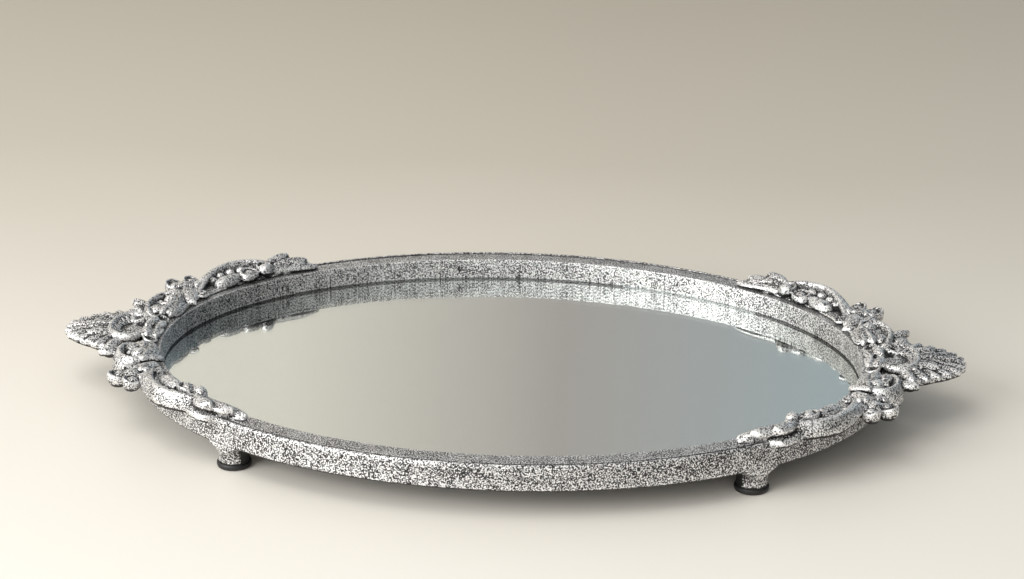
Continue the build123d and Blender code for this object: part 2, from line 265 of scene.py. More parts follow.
# ---- Mesh helpers ------------------------------------------------------------------------------
def lattice_noise(points, size, seed):
    """Smooth noise from -1 to 1 on points, one random value to each cube of that size."""
    cell = points / size
    base = np.floor(cell).astype(np.int64)
    part = cell - base
    part = part * part * (3 - 2 * part)
    total = np.zeros(len(points))
    for corner in range(8):
        step = np.array([corner & 1, corner >> 1 & 1, corner >> 2 & 1])
        key = (base + step) @ np.array([73856093, 19349663, 83492791]) + seed * 2654435761
        key = (key ^ (key >> 13)) * 1274126177 & 0x7FFFFFFF
        key = (key ^ (key >> 16)) & 0xFFFF
        weight = np.prod(np.where(step, part, 1 - part), axis=1)
        total += weight * (key / 32767.5 - 1)
    return total


def vertex_array(mesh, what="co"):
    values = np.zeros(len(mesh.vertices) * 3)
    source = mesh.vertices if what == "co" else mesh.vertex_normals
    source.foreach_get("co" if what == "co" else "vector", values)
    return values.reshape(-1, 3)


def set_vertices(mesh, points):
    mesh.vertices.foreach_set("co", points.reshape(-1))
    mesh.update()


def relaxed(points, pairs, rounds):
    """Points moved to the mean of their neighbours, several times over."""
    ends = np.concatenate([pairs[:, 0], pairs[:, 1]])
    others = np.concatenate([pairs[:, 1], pairs[:, 0]])
    count = np.maximum(np.bincount(ends, minlength=len(points)), 1)
    for _ in range(rounds):
        near = points[others]
        points = np.stack([np.bincount(ends, near[:, i], len(points)) / count for i in range(3)], axis=1)
    return points


def edge_pairs(mesh):
    pairs = np.zeros(len(mesh.edges) * 2, dtype=np.int64)
    mesh.edges.foreach_get("vertices", pairs)
    return pairs.reshape(-1, 2)


def write_attribute(mesh, name, values):
    attribute = mesh.attributes.new(name, "FLOAT", "POINT")
    attribute.data.foreach_set("value", np.asarray(values, dtype=np.float32))


def unsprayed(points, normals):
    """1 where no silver reached: surfaces that face down, and low ones that face the tray's middle."""
    down = np.clip((-normals[:, 2] - 0.25) / 0.35, 0, 1)
    outward = points[:, :2] / np.maximum(np.linalg.norm(points[:, :2], axis=1), 1e-9)[:, None]
    facing_in = np.clip((0.10 - (outward * normals[:, :2]).sum(1)) / 0.2, 0, 1)
    low = np.clip(((WALL_BOTTOM - 0.2) * MM - points[:, 2]) / (0.4 * MM), 0, 1)
    flare = np.clip((FOOT_BARE * MM - points[:, 2]) / (0.8 * MM), 0, 1)
    for name in FEET:
        foot = sum(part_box(f"{name}_foot_pad"), Vector()) / 2
        away = points[:, :2] - foot[:2]
        outer = np.clip((away * outward).sum(1) / (2 * MM), 0, 1)
        down *= 1 - outer * np.clip((FOOT_SPRAYED * MM - np.linalg.norm(away, axis=1)) / MM, 0, 1)
    return np.maximum(np.maximum(down, flare), facing_in * low)


def mesh_piece(name, points, faces):
    mesh = bpy.data.meshes.new(name)
    mesh.from_pydata([tuple(p) for p in points], [], faces)
    mesh.update()
    piece = bpy.data.objects.new(name, mesh)
    bpy.context.scene.collection.objects.link(piece)
    return piece


def shade_smooth(mesh):
    mesh.polygons.foreach_set("use_smooth", [True] * len(mesh.polygons))


# ---- The oval ----------------------------------------------------------------------------------
def rim_point(angle, out, height=None):
    """Point a distance outside the opening, square to its edge; the angle is the oval's parameter."""
    turn = radians(angle)
    across = (HALF_WIDTH * cos(turn), HALF_LENGTH * sin(turn))
    length = hypot(*across)
    x = HALF_LENGTH * cos(turn) + out * across[0] / length
    y = HALF_WIDTH * sin(turn) + out * across[1] / length
    return (x, y) if height is None else (x, y, height)


def rim_turn(angle):
    """Direction along the rim, in degrees."""
    turn = radians(angle)
    return degrees(atan2(HALF_WIDTH * cos(turn), -HALF_LENGTH * sin(turn)))


def rounded(corners, steps=5):
    """Closed outline from (x, z, radius) corners, each rounded by that much."""
    outline = []
    count = len(corners)
    for i, (x, z, radius) in enumerate(corners):
        here = Vector((x, z))
        before = Vector(corners[i - 1][:2]) - here
        after = Vector(corners[(i + 1) % count][:2]) - here
        start = here + before.normalized() * min(radius, before.length * 0.45)
        end = here + after.normalized() * min(radius, after.length * 0.45)
        for step in range(steps + 1):
            t = step / steps
            outline.append((1 - t) ** 2 * start + 2 * t * (1 - t) * here + t * t * end)
    return outline


def subdivided(outline, longest):
    """Outline with its long runs split."""
    result = []
    for i, point in enumerate(outline):
        following = outline[(i + 1) % len(outline)]
        parts = max(1, int((following - point).length / longest))
        result += [point.lerp(following, k / parts) for k in range(parts)]
    return result


def cast_rim():
    """The oval rim, swept round the opening, then made slightly uneven as a casting is."""
    corners = (
        (2.2, UNDERSIDE, 0.2),
        (2.9, UNDERSIDE, 0.4),
        (RIM_WIDTH + WALL_FLARE, WALL_BOTTOM, 0.8),
        (RIM_WIDTH, RIM_TOP - 1.0, 0.6),
        (RIM_WIDTH - 0.55, RIM_TOP, 0.6),
        (RIM_WIDTH - 1.45, RIM_TOP - 0.1, 0.5),
        (RIM_WIDTH - 1.75, RIM_FLAT - 0.5, 0.2),
        (RIM_WIDTH - 2.35, RIM_FLAT - 0.45, 0.2),
        (RIM_WIDTH - 2.6, RIM_FLAT, 0.3),
        (0.1, RIM_FLAT, 0.5),
        (-0.3, GLASS_TOP + 0.02, 0.05),
        (2.2, GLASS_TOP + 0.02, 0.05),
    )
    outline = subdivided(rounded(corners), 0.7)
    around = 1440
    turns = np.linspace(0, 2 * pi, around, endpoint=False)
    profile = np.array([(p.x, p.y) for p in outline])
    x = (HALF_LENGTH + profile[None, :, 0]) * np.cos(turns)[:, None]
    y = (HALF_WIDTH + profile[None, :, 0]) * np.sin(turns)[:, None]
    z = np.broadcast_to(profile[None, :, 1], x.shape)
    points = np.stack([x, y, z], -1).reshape(-1, 3) * MM
    wide = len(outline)
    ring = np.arange(around)[:, None] * wide
    following = (np.arange(around)[:, None] + 1) % around * wide
    here = np.arange(wide)[None, :]
    after = (here + 1) % wide
    faces = np.stack([ring + here, ring + after, following + after, following + here], -1).reshape(-1, 4)
    piece = mesh_piece("cast_rim", points, faces[:, ::-1].tolist())
    mesh = piece.data
    normals = vertex_array(mesh, "normal")
    outs = np.tile(profile[:, 0], around)
    # Groove beside the bead: bare black resin, set fully black as painted shade in the crease.
    groove_painted_shade = (abs(outs - RIM_WIDTH + 2.05) < 0.5) & (points[:, 2] > (RIM_FLAT - 1.0) * MM)
    uneven = 0.07 * lattice_noise(points / MM, 5.0, 3) + 0.05 * lattice_noise(points / MM, 1.6, 5)
    visible = points[:, 2] > (GLASS_TOP + 0.4) * MM
    outside = np.linalg.norm(points[:, :2] / MM / [HALF_LENGTH + 4, HALF_WIDTH + 4], axis=1) > 1
    points += normals * (uneven * MM * np.where(visible | outside, 1, 0))[:, None]
    set_vertices(mesh, points)
    above_glass = points[:, 2] > GLASS_TOP * MM
    # Painted light: the inner wall above the glass is made lighter and the outer wall a little darker, for how
    # the light falls on them.
    painted_light_bias = 0.22 * ((outs < 0.6) & above_glass) - 0.10 * (outs > RIM_WIDTH - 0.2)
    finish_casting(piece, 0.35, groove_painted_shade, painted_light_bias)
    return piece


def finish_casting(piece, strength=1.0, groove_painted_shade=None, painted_light_bias=0.0):
    """Relief and bare attributes, smooth shading and the casting's finish. The relief is partly the sponge's wear
    and
    partly painted light: painted highlight on ridges and painted shade in hollows. The bias adds painted light to
    it, and the groove is set black as painted shade.
    """
    mesh = piece.data
    points = vertex_array(mesh)
    normals = vertex_array(mesh, "normal")
    pairs = edge_pairs(mesh)
    near = relaxed(points, pairs, 10)
    # The wide smoothing works like ambient occlusion: broad hollows come out darker, as painted shade.
    wide = relaxed(near, pairs, 60)
    edges = ((points - near) * normals).sum(1) / MM
    mounds = ((near - wide) * normals).sum(1) / MM
    # Ridges lighter and hollows darker: the sponge's real wear plus painted highlight and painted shade.
    relief = painted_light_bias + strength * (0.7 * np.clip(edges / 0.30, -1, 1) + 0.6 * np.clip(mounds / 0.9, -1, 1))
    # The groove is forced black: bare resin plus painted shade in the crease.
    if groove_painted_shade is not None:
        relief = np.where(groove_painted_shade, -1.2, relief)
    write_attribute(mesh, "relief", relief)
    write_attribute(mesh, "bare", unsprayed(points, normals))
    shade_smooth(mesh)
    mesh.materials.append(CASTING)


def cast_foot(name):
    """The CAD foot with an even mesh, softened edges and the casting's finish."""
    piece = bpy.data.objects.new(f"{name}_cast_foot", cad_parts[f"{name}_foot"].data.copy())
    bpy.context.scene.collection.objects.link(piece)
    fuse = piece.modifiers.new("fuse", "REMESH")
    fuse.mode = "VOXEL"
    fuse.voxel_size = 0.3 * MM
    soften = piece.modifiers.new("soften", "SMOOTH")
    soften.factor = 0.5
    soften.iterations = 2
    mesh = bpy.data.meshes.new_from_object(piece.evaluated_get(bpy.context.evaluated_depsgraph_get()))
    piece.modifiers.clear()
    piece.data = mesh
    mesh.materials.clear()
    finish_casting(piece)
    return piece


# ---- Strokes of the ornament -------------------------------------------------------------------
def curve_through(controls, steps=8, closed=False):
    """Smooth run of values through control rows of any width."""
    rows = np.array(controls, dtype=float)
    if closed:
        rows = np.vstack([rows[-2], rows, rows[1]])
    else:
        rows = np.vstack([2 * rows[0] - rows[1], rows, 2 * rows[-1] - rows[-2]])
    result = []
    for i in range(1, len(rows) - 2):
        a, b, c, d = rows[i - 1:i + 3]
        for step in range(steps):
            t = step / steps
            square = 2 * a - 5 * b + 4 * c - d
            cube = 3 * b - a - 3 * c + d
            result.append(0.5 * (2 * b + (c - a) * t + square * t ** 2 + cube * t ** 3))
    result.append(rows[-2])
    return np.array(result)


class Clay:
    """Overlapping closed shapes, in millimetres, that are fused into one casting."""

    def __init__(self):
        self.points = []
        self.faces = []

    def add(self, points, faces):
        start = len(self.points)
        self.points += [tuple(p) for p in points]
        self.faces += [tuple(start + i for i in face) for face in faces]

    def stroke(self, controls, sides=14):
        """Strap along rows of (x, y, z, half width, half height), with rounded ends."""
        rows = curve_through(controls)
        rings = []
        last = len(rows) - 1
        for i, row in enumerate(rows):
            along = rows[min(i + 1, last)][:3] - rows[max(i - 1, 0)][:3]
            along /= np.linalg.norm(along)
            side = np.cross([0, 0, 1], along)
            side /= max(np.linalg.norm(side), 1e-6)
            up = np.cross(along, side)
            width, height = np.maximum(row[3:5], 0.15)
            centre = row[:3]
            layers = [(0.0, 1.0)]
            if i == 0:
                layers = [(-0.95, 0.3), (-0.7, 0.7), (0.0, 1.0)]
            if i == last:
                layers = [(0.0, 1.0), (0.7, 0.7), (0.95, 0.3)]
            for shift, scale in layers:
                middle = centre + along * shift * min(width, height)
                ring = []
                for k in range(sides):
                    turn = 2 * pi * k / sides
                    ring.append(middle + side * width * scale * cos(turn) + up * height * scale * sin(turn))
                rings.append(ring)
        points = [p for ring in rings for p in ring]
        faces = []
        for r in range(len(rings) - 1):
            for k in range(sides):
                after = (k + 1) % sides
                faces.append((r * sides + k, r * sides + after, (r + 1) * sides + after, (r + 1) * sides + k))
        faces.append(tuple(range(sides))[::-1])
        faces.append(tuple((len(rings) - 1) * sides + k for k in range(sides)))
        self.add(points, faces)

    def loft(self, rings):
        """Closed skin over rings of equal length, capped at both ends."""
        wide = len(rings[0])
        faces = [tuple(range(wide))[::-1]]
        for r in range(len(rings) - 1):
            for k in range(wide):
                after = (k + 1) % wide
                faces.append((r * wide + k, r * wide + after, (r + 1) * wide + after, (r + 1) * wide + k))
        faces.append(tuple((len(rings) - 1) * wide + k for k in range(wide)))
        self.add([p for ring in rings for p in ring], faces)

    def band(self, controls, section):
        """Strip along rows of (x, y, z, width scale, height scale), under an (outward, up) section."""
        rows = curve_through(controls)
        rings = []
        last = len(rows) - 1
        for i, row in enumerate(rows):
            along = rows[min(i + 1, last)][:2] - rows[max(i - 1, 0)][:2]
            along /= np.linalg.norm(along)
            rings.append([
                (row[0] + along[1] * out * row[3], row[1] - along[0] * out * row[3], row[2] + up * row[4])
                for out, up in section
            ])
        self.loft(rings)

    def bowl(self, rim, low, floor, base=None):
        """Cup under a closed rim of (x, y, z) points: its outside goes down to low, its inside to floor."""
        ring = curve_through(rim + rim[:1], closed=True)[:-1]
        centre = ring[:, :2].mean(0)
        shift = np.zeros(2) if base is None else np.array(base) - centre
        rings = []
        outside = ((0.35, 0.0), (0.66, 0.06), (0.9, 0.27), (1.02, 0.58), (1.02, 0.82), (0.96, 0.96), (0.89, 1.0))
        for size, rise in outside:
            place = centre + (ring[:, :2] - centre) * size + shift * (1 - rise)
            rings.append(np.column_stack([place, low + (ring[:, 2] - low) * rise]))
        for size, rise in ((0.80, 0.92), (0.69, 0.6), (0.52, 0.28), (0.26, 0.06)):
            place = centre + (ring[:, :2] - centre) * size
            rings.append(np.column_stack([place, floor + (ring[:, 2] - floor) * rise]))
        self.loft(rings)

    def plate(self, outline, low, high, inset=0.9):
        """Flat plate with rounded edges over an outline of (x, y) points."""
        ring = np.array(outline)
        centre = ring.mean(0)
        away = ring - centre
        away /= np.linalg.norm(away, axis=1)[:, None]
        middle = (low + high) / 2
        levels = (
            (inset, low), (0.25 * inset, (low + middle) / 2), (0.0, middle),
            (0.25 * inset, (high + middle) / 2), (inset, high),
        )
        self.loft([np.column_stack([ring - away * d, np.full(len(ring), z)]) for d, z in levels])

    def cup(self, at, radii, turn, top, low, floor, tip=0.0):
        """Round bowl at a place in plan, its rim higher by tip on the outer side."""
        rim = []
        away = atan2(at[1], at[0])
        for k in range(8):
            angle = 2 * pi * k / 8
            x, y = radii[0] * cos(angle), radii[1] * sin(angle)
            c, s = cos(radians(turn)), sin(radians(turn))
            dx, dy = x * c - y * s, x * s + y * c
            rim.append((at[0] + dx, at[1] + dy, top + tip * (dx * cos(away) + dy * sin(away)) / max(radii)))
        self.bowl(rim, low, floor)

    def lobe(self, at, size, turn=0.0, tilt=0.0):
        """Rounded bead or bulb, turned in plan and then tipped."""
        made = bmesh.new()
        bmesh.ops.create_uvsphere(made, u_segments=24, v_segments=14, radius=1.0)
        turned = Matrix.Rotation(radians(turn), 4, "Z") @ Matrix.Rotation(radians(tilt), 4, "Y")
        move = Matrix.Translation(at) @ turned @ Matrix.Diagonal((*size, 1.0))
        made.transform(move)
        made.verts.ensure_lookup_table()
        self.add([v.co[:] for v in made.verts], [[v.index for v in f.verts] for f in made.faces])
        made.free()

    def leaf(self, root, tip, width, low, high, bend=0.0, curl=0.0, thickness=1.3):
        """Leaf lobe with a raised midrib: narrow at the root, fullest past the middle, rounded tip."""
        root = np.array(root, dtype=float)
        tip = np.array(tip, dtype=float)
        along = tip - root
        side = np.array([-along[1], along[0]])
        rows = []
        ribs = []
        for t, w in ((0.0, 0.45), (0.25, 0.7), (0.5, 0.95), (0.75, 1.0), (0.92, 0.75), (1.0, 0.4)):
            place = root + along * t + side * bend * sin(pi * t)
            height = low + (high - low) * t + curl * sin(pi * t * 0.9)
            rows.append((*place, height, width * w, thickness))
            ribs.append((*place, height + thickness * 0.85, max(0.28, width * 0.22 * w), 0.55))
        self.stroke(rows)
        self.stroke(ribs[:-1], sides=8)

    def fused(self, name, voxel=0.42):
        """One skin round everything, softened and made slightly uneven, in metres."""
        piece = mesh_piece(name, np.array(self.points), self.faces)
        fuse = piece.modifiers.new("fuse", "REMESH")
        fuse.mode = "VOXEL"
        fuse.voxel_size = voxel
        soften = piece.modifiers.new("soften", "SMOOTH")
        soften.factor = 0.5
        soften.iterations = 3
        evaluated = piece.evaluated_get(bpy.context.evaluated_depsgraph_get())
        mesh = bpy.data.meshes.new_from_object(evaluated)
        bpy.data.objects.remove(piece)
        points = vertex_array(mesh)
        normals = vertex_array(mesh, "normal")
        uneven = 0.10 * lattice_noise(points, 2.6, 11) + 0.07 * lattice_noise(points, 1.1, 17)
        set_vertices(mesh, (points + normals * uneven[:, None]) * MM)
        mesh.name = name
        return mesh


# ---- Ornament, built for the +X, +Y quarter ----------------------------------------------------
# Section of the scroll's strap, from its crest: a rounded top, a full outer face and a hollow inner one.
STRAP = (
    (-1.7, -0.9), (-1.1, -0.2), (0.0, 0.0), (1.1, -0.5), (2.1, -2.0), (2.8, -4.2),
    (2.9, -6.2), (2.0, -7.8), (0.2, -8.2), (-1.2, -7.0), (-1.7, -4.0),
)


def rim_scroll():
    """Long scroll on the rim: a high arched strap round a bead, then a leaf with three curled tips."""
    clay = Clay()
    foot = rim_point(22.4, 4.8)
    clay.cup(foot, (3.0, 3.0), 0, 24.2, 21.7, 22.6, tip=0.4)
    clay.lobe((*foot, 23.0), (1.7, 1.7, 1.5))
    strap = (
        (21.4, 7.0, 24.0, 1.15, 0.30), (23.2, 9.4, 25.0, 1.2, 0.38), (25.6, 11.8, 26.6, 1.2, 0.50),
        (28.2, 14.0, 27.8, 1.15, 0.72), (31.0, 15.8, 28.7, 1.0, 0.94), (34.0, 16.6, 28.9, 0.95, 1.02),
        (36.8, 15.2, 28.8, 0.90, 1.02), (39.2, 12.4, 28.3, 0.85, 0.98), (41.2, 10.2, 27.0, 0.75, 0.80),
    )
    clay.band([(*rim_point(a, out), z, w, h) for a, out, z, w, h in strap], STRAP)
    base = (
        (22, 6, 2.6), (26, 8, 4.6), (31, 10, 6.4), (36, 9, 5.6), (41, 7.4, 4.4), (46, 5.8, 3.2), (50, 4.2, 1.4),
    )
    clay.stroke([(*rim_point(a, out, 22.2), w, 1.1) for a, out, w in base])
    for a, out, z in ((28.2, 11.2, 24.2), (30.6, 12.6, 24.6), (33.0, 12.8, 24.8), (35.2, 11.8, 24.8)):
        clay.lobe(rim_point(a, out, z), (2.2, 1.7, 2.0), rim_turn(a) + 25)
    clay.lobe(rim_point(30.4, 6.6, 24.0), (7.0, 3.7, 2.9), rim_turn(30.4))
    clay.lobe(rim_point(31.6, 6.4, 25.2), (4.4, 2.3, 1.8), rim_turn(31.6))
    hood = rim_point(35.4, 5.2)
    clay.cup(hood, (4.6, 3.9), rim_turn(36), 26.9, 21.9, 25.4, tip=0.9)
    clay.lobe((*hood, 25.8), (2.4, 1.9, 1.4), rim_turn(36))
    clay.lobe(rim_point(34.4, 3.6, 24.6), (2.6, 2.2, 2.2), rim_turn(34))
    curl = rim_point(39.3, 6.2)
    clay.cup(curl, (4.0, 4.1), rim_turn(40), 27.5, 21.9, 25.6, tip=0.8)
    clay.lobe(rim_point(39.0, 4.3, 25.9), (3.4, 3.0, 2.9), rim_turn(39))
    clay.stroke([(*rim_point(a, out, z), w, 2.0) for a, out, z, w in (
        (40, 6.4, 24.4, 3.6), (43, 6.6, 24.2, 3.6), (46, 5.6, 23.6, 3.0), (49, 4.4, 22.8, 1.8))])
    clay.lobe(rim_point(46.4, 6.0, 24.0), (5.2, 3.3, 2.7), rim_turn(46.4) + 6)
    # root, tip, width, height at the root and tip, bend, curl and thickness of each curled leaf
    for root, tip, width, low, high, bend, curled, thick in (
        ((40.6, 9.0), (45.2, 11.2), 3.3, 25.8, 26.7, -0.08, 0.5, 2.2),
        ((41.8, 6.8), (48.2, 6.6), 3.3, 25.0, 24.9, -0.08, 0.7, 1.9),
        ((41.2, 3.8), (50.0, 3.2), 2.6, 23.8, 22.6, -0.04, 0.6, 1.5),
        ((39.4, 12.0), (45.2, 10.2), 3.2, 22.8, 20.9, -0.10, 0.2, 2.2),
    ):
        clay.leaf(rim_point(*root), rim_point(*tip), width, low, high, bend, curled, thick)
    return clay.fused("rim_scroll")


def volute():
    """Rolled scroll beside the cartouche: an open shell round a ball, with leaf lobes on the rim side."""
    clay = Clay()
    shell = [
        (160.0, 14.8, 23.8), (163.0, 18.6, 25.4), (164.2, 24.6, 26.2), (163.4, 31.0, 26.4),
        (160.6, 35.8, 26.6), (156.4, 37.9, 26.6), (151.8, 36.6, 26.2), (149.0, 32.4, 25.2),
        (149.4, 26.4, 24.0), (152.0, 20.4, 23.0), (156.0, 15.8, 22.8),
    ]
    clay.bowl(shell, 16.6, 21.4, base=(160.6, 29.5))
    clay.lobe((154.4, 30.6, 24.2), (3.3, 3.3, 3.1))
    clay.stroke([
        (152.0, 35.6, 25.6, 1.2, 1.2), (150.9, 31.6, 25.4, 1.2, 1.3), (152.4, 27.2, 25.0, 1.2, 1.3),
        (156.6, 26.0, 24.6, 1.1, 1.2), (159.0, 28.8, 24.2, 1.0, 1.1),
    ])
    clay.lobe((158.6, 21.6, 23.3), (3.7, 2.9, 2.4), 110)
    clay.lobe((158.0, 34.4, 22.4), (2.2, 2.6, 1.6), 30)
    clay.cup((158.3, 22.2), (3.6, 3.0), 110, 24.6, 21.4, 23.2, tip=1.0)
    clay.leaf(rim_point(17.0, 5.8), rim_point(9.0, 3.6), 3.2, 23.6, 22.9, bend=0.05, curl=0.8, thickness=1.7)
    clay.leaf(rim_point(16.0, 3.0), rim_point(10.0, 1.9), 1.7, 22.6, 22.2, curl=0.5, thickness=1.1)
    clay.leaf(rim_point(14.6, 7.4), rim_point(8.4, 7.6), 2.4, 24.0, 23.6, curl=0.7, thickness=1.6)
    clay.cup(rim_point(5.7, 4.8), (3.2, 3.2), 0, 24.4, 21.7, 23.2, tip=0.9)
    clay.leaf((151.0, 37.2), (143.9, 31.6), 2.4, 25.6, 22.9, bend=0.06, curl=0.7, thickness=1.3)
    clay.leaf((162.6, 22.0), (171.2, 28.6), 2.6, 22.4, 23.8, bend=0.10, curl=0.6, thickness=1.8)
    clay.lobe((167.6, 23.6, 22.0), (4.2, 3.0, 2.2), 35)
    return clay.fused("volute")


def leaf_spray():
    """Short leaf that stands out sideways between scroll and volute: two cupped lobes on a full root."""
    clay = Clay()
    clay.stroke([(*rim_point(a, out, z), w, h) for a, out, z, w, h in (
        (19.6, 5.4, 23.1, 3.0, 1.8), (20.8, 10.0, 22.9, 4.2, 2.8), (22.4, 14.4, 22.6, 4.8, 3.2))])
    clay.lobe((155.2, 42.6, 22.0), (4.8, 4.2, 3.4), 40)
    clay.cup((157.8, 51.0), (4.7, 4.2), 30, 24.9, 19.2, 24.0, tip=1.1)
    clay.lobe((157.2, 50.2, 24.0), (2.8, 2.3, 1.7), 60)
    clay.cup((151.2, 56.0), (3.7, 3.8), 0, 25.0, 19.6, 24.0, tip=1.2)
    clay.lobe((151.0, 55.4, 24.0), (2.2, 2.0, 1.5), 20)
    clay.lobe((152.8, 49.8, 23.0), (4.6, 4.2, 3.2), 45)
    clay.lobe((147.4, 52.2, 22.8), (3.4, 3.0, 2.8), 45)
    for k in range(5):
        clay.lobe((156.6 - 2.5 * k, 45.2 + 0.7 * k, 25.1 + 0.1 * k), (1.5, 1.6, 1.3))
    return clay.fused("leaf_spray")


def cartouche():
    """Oval cup at the root of the palmette, with a lobe on each side of it on the rim."""
    clay = Clay()
    half = [
        (157.2, -7.4, 25.0), (160.6, -12.4, 26.0), (165.6, -13.9, 26.5), (170.8, -11.4, 26.6),
        (173.8, -5.8, 26.6),
    ]
    cup = half + [(174.3, 0.0, 26.5)] + [(x, -y, z) for x, y, z in half[::-1]] + [(156.0, 0.0, 24.6)]
    clay.bowl(cup, 19.2, 21.4, base=(167.5, 0.0))
    clay.lobe((165.6, 0.0, 21.8), (2.4, 5.2, 1.7))
    for side in (1, -1):
        clay.leaf((158.6, side * 1.6), (156.0, side * 9.2), 2.5, 24.0, 23.8, curl=0.5, thickness=1.7)
        clay.stroke([
            (160.4, side * 11.2, 25.0, 1.0, 1.1), (162.6, side * 7.4, 24.0, 1.0, 1.1),
            (168.4, side * 6.4, 23.6, 1.0, 1.0),
        ])
        clay.leaf((154.0, side * 0.6), (152.6, side * 7.8), 2.2, 23.0, 22.8, curl=0.5, thickness=1.4)
    return clay.fused("cartouche")


PETAL_ANGLES = (0, 9, 19, 30, 42, 56, 72)
PETAL_LENGTHS = (1.0, 0.995, 0.95, 0.87, 0.795, 0.75, 0.73)


def palmette():
    """Shell-shaped leaf handle: two tiers of petals fanned from a root, with a boss on each side."""
    clay = Clay()
    root = (163.5, 0.0)
    reach = TIP - root[0] - 1.6
    outline = []
    for angle, length in zip(PETAL_ANGLES, PETAL_LENGTHS):
        for side in (1, -1) if angle else (1,):
            turn = radians(side * angle)
            way = (cos(turn), sin(turn))
            tip = (root[0] + reach * length * way[0], reach * length * way[1])
            start = (root[0] + 7.0 * way[0], 7.0 * way[1])
            short = (root[0] + reach * length * 0.66 * way[0], reach * length * 0.66 * way[1])
            outline.append(tip)
            clay.leaf(start, tip, 2.6, 22.7, 22.3, curl=0.7, thickness=1.7)
            clay.leaf(start, short, 2.3, 23.2, 23.8, curl=0.5, thickness=1.5)
    outline = sorted(outline, key=lambda tip: tip[1])
    edge = [Vector(a).lerp(Vector(b), k / 4)[:] for a, b in zip(outline, outline[1:]) for k in range(4)]
    clay.plate(edge + [outline[-1], (root[0], 12.0), (root[0], -12.0)], 20.2, 23.4)
    clay.leaf((172.0, 0.0), (190.5, 0.0), 2.2, 24.4, 23.6, curl=0.6, thickness=1.4)
    for side in (1, -1):
        boss = ((171.0, side * 8.0), (181.0, side * 10.2))
        clay.leaf(*boss, 2.7, 24.0, 24.3, bend=-side * 0.12, curl=0.5, thickness=1.6)
    clay.stroke([(151.6, 0, 22.4, 3.4, 0.8), (158, 0, 22.5, 3.4, 0.9), (166, 0, 22.6, 4.0, 1.2)])
    return clay.fused("palmette")


def mirrored(mesh, name, along, across):
    """Copy of a quarter casting on one of the four sides."""
    copy = mesh.copy()
    copy.name = name
    copy.transform(Matrix.Diagonal((along, across, 1, 1)))
    if along * across < 0:
        copy.flip_normals()
    piece = bpy.data.objects.new(name, copy)
    bpy.context.scene.collection.objects.link(piece)
    return piece


def add_casting(piece, *nodes):
    if "relief" not in piece.data.attributes:
        finish_casting(piece)
    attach(piece, "root")
    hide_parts(*nodes)


def ornament():
    for side, along in (("left", -1), ("right", 1)):
        for make, name in ((CARTOUCHE, "cartouche"), (PALMETTE, "palmette")):
            piece = mirrored(make, f"{side}_{name}_casting", along, 1)
            add_casting(piece, f"{side}_{name}")
        for end, across in (("front", -1), ("back", 1)):
            for make, name in ((SCROLL, "rim_scroll"), (VOLUTE, "volute"), (SPRAY, "leaf_spray")):
                piece = mirrored(make, f"{side}_{end}_{name}_casting", along, across)
                add_casting(piece, f"{side}_{end}_{name}")


# ---- Felt --------------------------------------------------------------------------------------
def felt_sheet():
    """Felt on the underside of the board, cut out around the feet, its lower face slightly napped."""
    low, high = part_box("felt_lining")
    half_x, half_y = high.x, high.y
    step = 2.0 * MM
    feet = [tuple((lo + hi) / 2 for lo, hi in zip(*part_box(f"{name}_foot_pad"))) for name in FEET]
    made = bmesh.new()
    rings = 54
    around = 360
    centre = made.verts.new((0, 0, low.z + 0.05 * MM))
    grid = []
    for r in range(1, rings + 1):
        ring = []
        for k in range(around):
            turn = 2 * pi * k / around
            out = r / rings
            ring.append(made.verts.new((half_x * out * cos(turn), half_y * out * sin(turn), low.z)))
        grid.append(ring)
    for k in range(around):
        made.faces.new((centre, grid[0][(k + 1) % around], grid[0][k]))
    for r in range(rings - 1):
        for k in range(around):
            after = (k + 1) % around
            made.faces.new((grid[r][k], grid[r][after], grid[r + 1][after], grid[r + 1][k]))
    cleared = (FOOT_CUT + 0.3) * MM
    gone = [v for v in made.verts if any(hypot(v.co.x - f[0], v.co.y - f[1]) < cleared for f in feet)]
    bmesh.ops.delete(made, geom=gone, context="VERTS")
    bmesh.ops.recalc_face_normals(made, faces=made.faces[:])
    mesh = bpy.data.meshes.new("felt_sheet")
    made.to_mesh(mesh)
    made.free()
    points = vertex_array(mesh)
    points[:, 2] += 0.00006 * lattice_noise(points / MM, 3.0, 29)
    points[:, 2] = np.maximum(points[:, 2], low.z)
    set_vertices(mesh, points)
    shade_smooth(mesh)
    piece = bpy.data.objects.new("felt_sheet", mesh)
    bpy.context.scene.collection.objects.link(piece)
    thick = piece.modifiers.new("thickness", "SOLIDIFY")
    thick.thickness = (high.z - low.z) * 0.85
    thick.offset = -1.0 if mesh.polygons[0].normal.z < 0 else 1.0
    mesh.materials.append(FELT)
    return piece


# ---- Mirror coat -------------------------------------------------------------------------------
def silver_coat():
    """Thin oval plate just under the glass, slightly rounded at its edge."""
    low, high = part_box("mirror_silvering")
    gap = 0.02 * MM
    bevel = 0.05 * MM
    rings = [(0.4 * MM, low.z), (0.0, low.z + bevel), (0.0, high.z - gap - bevel), (bevel, high.z - gap)]
    around = 720
    points = []
    for inset, height in rings:
        for k in range(around):
            turn = 2 * pi * k / around
            points.append(((high.x - inset) * cos(turn), (high.y - inset) * sin(turn), height))
    faces = [tuple(range(around))[::-1]]
    for r in range(len(rings) - 1):
        for k in range(around):
            after = (k + 1) % around
            faces.append((r * around + k, r * around + after, (r + 1) * around + after, (r + 1) * around + k))
    faces.append(tuple((len(rings) - 1) * around + k for k in range(around)))
    piece = mesh_piece("silver_coat", points, faces)
    piece.data.materials.append(mirror_silver())
    return piece


